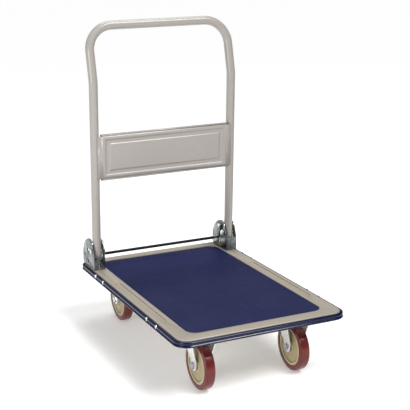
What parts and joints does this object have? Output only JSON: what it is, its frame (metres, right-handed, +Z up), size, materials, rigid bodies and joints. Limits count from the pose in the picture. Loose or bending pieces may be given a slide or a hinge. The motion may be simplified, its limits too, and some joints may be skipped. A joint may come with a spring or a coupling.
{
  "type": "folding platform cart",
  "caption": "Hand cart with a flat matted steel platform, wraparound bumper, rigid and swivel casters, and a tubular push handle with a back panel that folds down onto the platform.",
  "frame": {"origin": "centre of the outline at floor level, under the middle of the platform", "axes": "+Z up, +Y towards the handle end, -Y towards the front (load) end, +X to the right when looking from the front towards the handle along +Y"},
  "size_m": [0.48, 0.74, 0.89],
  "materials": {
    "deck_paint": "satin cream powder coat",
    "handle_paint": "satin warm grey powder coat",
    "mat_rubber": "matt navy, fine leather grain",
    "bumper_pvc": "satin navy soft PVC",
    "bracket_zinc": "bright zinc plate",
    "fastener_zinc": "bright zinc plate",
    "bearing_steel": "polished bearing steel",
    "tread_polyurethane": "satin dark red polyurethane",
    "hub_plastic": "olive cream plastic, satin",
    "sleeve_plastic": "black, matt",
    "bush_plastic": "natural nylon"
  },
  "bodies": {
    "deck": {"deck_tray": "deck_paint", "deck_mat": "mat_rubber", "bumper": "bumper_pvc", "bumper_screws": "fastener_zinc", "caster_channel_front": "deck_paint", "caster_channel_rear": "deck_paint", "stiffener_left": "deck_paint", "stiffener_right": "deck_paint", "rigid_fork_left": "bracket_zinc", "rigid_fork_right": "bracket_zinc", "rigid_axles": "fastener_zinc", "rigid_axle_nuts": "fastener_zinc", "rigid_axle_sleeves": "fastener_zinc", "swivel_plate_left": "bracket_zinc", "swivel_plate_right": "bracket_zinc", "king_bolts": "fastener_zinc", "caster_bolts": "fastener_zinc", "caster_nuts": "fastener_zinc", "hinge_bracket_left": "bracket_zinc", "hinge_bracket_right": "bracket_zinc", "bracket_bolts": "fastener_zinc", "bracket_nuts": "fastener_zinc", "pivot_bolts": "fastener_zinc", "pivot_nuts": "fastener_zinc", "lock_bar_rivets": "fastener_zinc"},
    "handle": {"handle_tube": "handle_paint", "back_panel": "handle_paint", "lock_plate_left": "handle_paint", "lock_plate_right": "handle_paint", "pivot_bush_left": "bush_plastic", "pivot_bush_right": "bush_plastic"},
    "lock_bar": {"lock_arm_left": "bracket_zinc", "lock_arm_right": "bracket_zinc", "lock_pin_left": "bracket_zinc", "lock_pin_right": "bracket_zinc", "foot_rod": "bracket_zinc", "foot_sleeve": "sleeve_plastic"},
    "swivel_left": {"swivel_fork_left": "bracket_zinc", "swivel_axle_left": "fastener_zinc", "swivel_axle_nut_left": "fastener_zinc", "swivel_axle_sleeve_left": "fastener_zinc", "race_balls_left": "bearing_steel"},
    "swivel_right": {"swivel_fork_right": "bracket_zinc", "swivel_axle_right": "fastener_zinc", "swivel_axle_nut_right": "fastener_zinc", "swivel_axle_sleeve_right": "fastener_zinc", "race_balls_right": "bearing_steel"},
    "wheel_front_left": {"hub_front_left": "hub_plastic", "tyre_front_left": "tread_polyurethane", "bearings_front_left": "bearing_steel"},
    "wheel_front_right": {"hub_front_right": "hub_plastic", "tyre_front_right": "tread_polyurethane", "bearings_front_right": "bearing_steel"},
    "wheel_rear_left": {"hub_rear_left": "hub_plastic", "tyre_rear_left": "tread_polyurethane", "bearings_rear_left": "bearing_steel"},
    "wheel_rear_right": {"hub_rear_right": "hub_plastic", "tyre_rear_right": "tread_polyurethane", "bearings_rear_right": "bearing_steel"}
  },
  "joints": [
    {"name": "handle_fold", "type": "hinge", "parent": "deck", "child": "handle", "pos_m": [0, 0.2735, 0.23], "axis": [1, 0, 0], "range_deg": [0, 87]},
    {"name": "lock_bar_swing", "type": "hinge", "parent": "deck", "child": "lock_bar", "pos_m": [0, 0.29, 0.25], "axis": [1, 0, 0], "range_deg": [0, 14]},
    {"name": "caster_swivel_left", "type": "hinge", "parent": "deck", "child": "swivel_left", "pos_m": [-0.136, 0.258, 0.15], "axis": [0, 0, 1], "continuous": true},
    {"name": "caster_swivel_right", "type": "hinge", "parent": "deck", "child": "swivel_right", "pos_m": [0.136, 0.258, 0.15], "axis": [0, 0, 1], "continuous": true},
    {"name": "wheel_spin_front_left", "type": "hinge", "parent": "deck", "child": "wheel_front_left", "pos_m": [-0.136, -0.265, 0.065], "axis": [1, 0, 0], "continuous": true},
    {"name": "wheel_spin_front_right", "type": "hinge", "parent": "deck", "child": "wheel_front_right", "pos_m": [0.136, -0.265, 0.065], "axis": [1, 0, 0], "continuous": true},
    {"name": "wheel_spin_rear_left", "type": "hinge", "parent": "swivel_left", "child": "wheel_rear_left", "pos_m": [-0.136, 0.29, 0.065], "axis": [1, 0, 0], "continuous": true},
    {"name": "wheel_spin_rear_right", "type": "hinge", "parent": "swivel_right", "child": "wheel_rear_right", "pos_m": [0.136, 0.29, 0.065], "axis": [1, 0, 0], "continuous": true}
  ]
}
